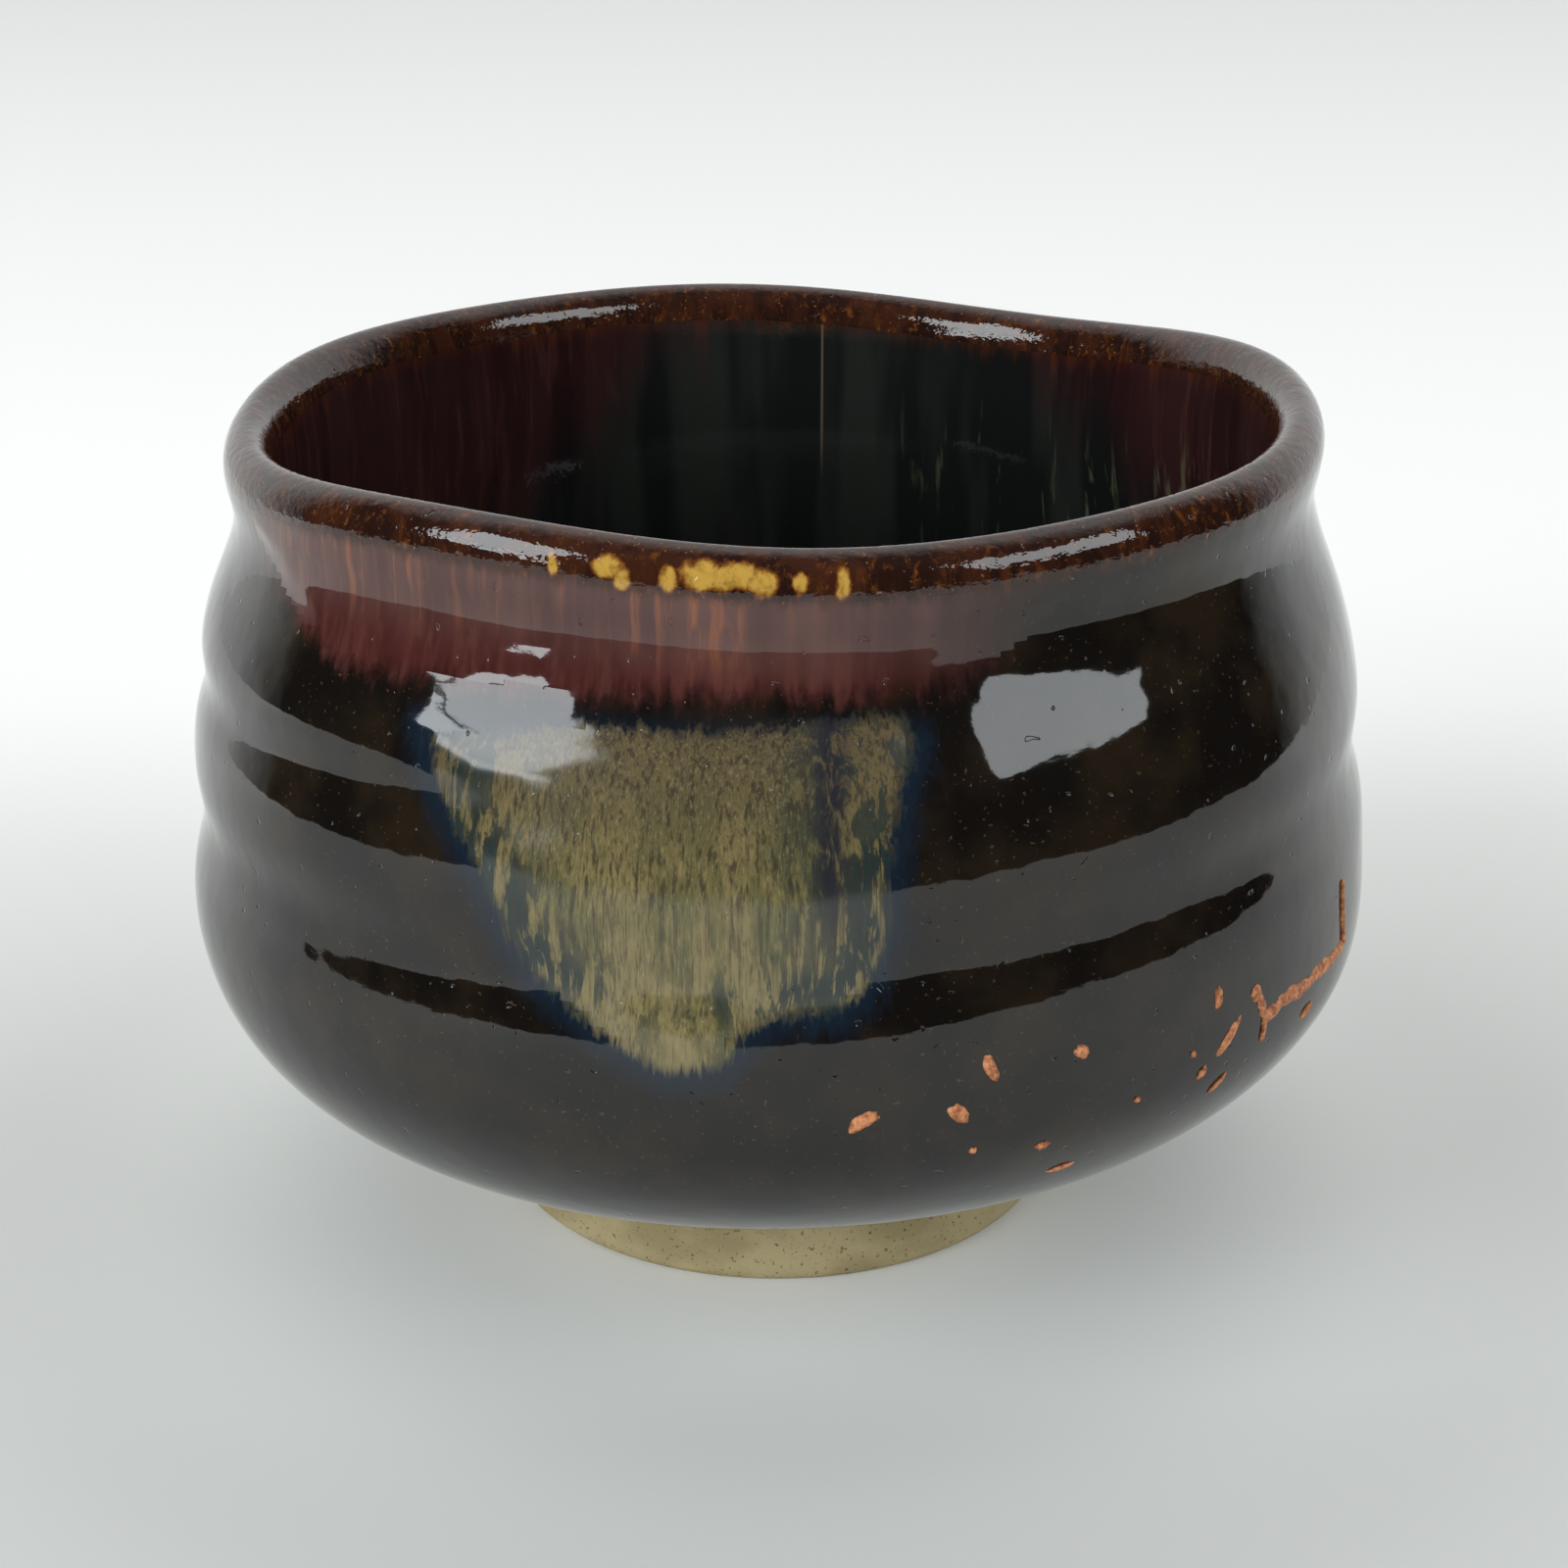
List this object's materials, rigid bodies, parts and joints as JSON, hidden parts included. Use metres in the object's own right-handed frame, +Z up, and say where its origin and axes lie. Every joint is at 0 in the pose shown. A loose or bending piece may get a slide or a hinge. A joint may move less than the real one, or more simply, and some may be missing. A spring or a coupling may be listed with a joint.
{
  "type": "matcha bowl",
  "caption": "Hand-thrown tea bowl on a trimmed foot ring, with a black-brown glaze, an amber lip and a run of olive ash glaze down the front.",
  "frame": {"origin": "middle of the foot ring's resting face, on the surface that the bowl stands on", "axes": "+Z up through the bowl's mouth; -Y to the front, which carries the ash glaze run; +X to the right as seen from the front"},
  "size_m": [0.1199, 0.1198, 0.0846],
  "materials": {
    "stoneware": "fired stoneware under the glaze",
    "bare_clay": "matt bare fired clay, sandy and speckled",
    "black_glaze": "glossy black-brown iron glaze",
    "amber_glaze": "glossy amber glaze with golden mottles",
    "inner_glaze": "glossy dark maroon-brown iron glaze",
    "maroon_glaze": "glossy maroon glaze with brown and mauve streaks",
    "ash_glaze": "glossy ochre-olive ash glaze with fine streaks and a blue edge",
    "rust": "matt rust-orange scars"
  },
  "bodies": {
    "root": {"clay_body": "stoneware", "foot_ring": "bare_clay", "outer_glaze": "black_glaze", "lip_glaze": "amber_glaze", "inner_glaze": "inner_glaze", "shoulder_glaze": "maroon_glaze", "ash_glaze_run": "ash_glaze", "rust_scars": "rust"}
  },
  "joints": []
}
